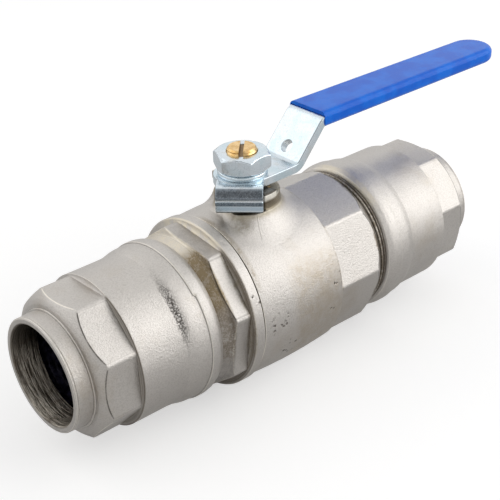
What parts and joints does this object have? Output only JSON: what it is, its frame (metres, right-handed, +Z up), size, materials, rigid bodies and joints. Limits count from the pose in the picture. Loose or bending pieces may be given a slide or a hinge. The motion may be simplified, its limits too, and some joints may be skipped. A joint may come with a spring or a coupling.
{
  "type": "lockable ball valve",
  "caption": "Straight lockable ball valve with a compression nut at each end and a blue-sleeved quarter-turn lever, for plastic pipe.",
  "frame": {"origin": "centre of the ball, where the pipe axis meets the stem axis", "axes": "+X along the pipe from the end cap's side to the side over which the open lever lies; +Z up the stem, towards the lever"},
  "size_m": [0.2011, 0.0586, 0.0836],
  "materials": {
    "nickel_plated_brass": "satin nickel plating over a grainy forging",
    "zinc_plated_steel": "bright bluish zinc",
    "bare_brass": "turned, bare",
    "chromed_ball": "polished chrome plating",
    "blue_vinyl": "glossy dipped sleeve",
    "black_plastic": "satin moulding",
    "white_seat": "waxy",
    "black_rubber": "matt"
  },
  "bodies": {
    "housing": {"valve_body": "nickel_plated_brass", "end_cap": "nickel_plated_brass", "near_grip_ring": "black_plastic", "far_grip_ring": "black_plastic", "near_pressure_ring": "bare_brass", "far_pressure_ring": "bare_brass", "near_pipe_seal": "black_rubber", "far_pipe_seal": "black_rubber", "near_seat": "white_seat", "far_seat": "white_seat", "body_seal": "white_seat", "stem_thrust_washer": "white_seat", "stem_packing": "white_seat", "packing_follower": "bare_brass", "gland_nut": "bare_brass"},
    "handle": {"lever": "zinc_plated_steel", "grip": "blue_vinyl", "stem": "bare_brass", "stem_o_ring": "black_rubber", "lock_washer": "zinc_plated_steel", "handle_nut": "zinc_plated_steel"},
    "ball": {"ball": "chromed_ball"},
    "near_nut": {"near_nut": "nickel_plated_brass"},
    "far_nut": {"far_nut": "nickel_plated_brass"}
  },
  "joints": [
    {"name": "lever_turn", "type": "hinge", "parent": "housing", "child": "handle", "pos_m": [0, 0, 0], "axis": [0, 0, 1], "range_deg": [-90, 0]},
    {"name": "ball_turn", "type": "hinge", "parent": "housing", "child": "ball", "pos_m": [0, 0, 0], "axis": [0, 0, 1], "range_deg": [-90, 0]},
    {"name": "near_nut_turn", "type": "hinge", "parent": "housing", "child": "near_nut", "pos_m": [-0.05, 0, 0], "axis": [-1, 0, 0], "continuous": true},
    {"name": "far_nut_turn", "type": "hinge", "parent": "housing", "child": "far_nut", "pos_m": [0.06, 0, 0], "axis": [1, 0, 0], "continuous": true}
  ],
  "couplings": [
    {"joint": "ball_turn", "follows": "lever_turn", "ratio": 1}
  ]
}
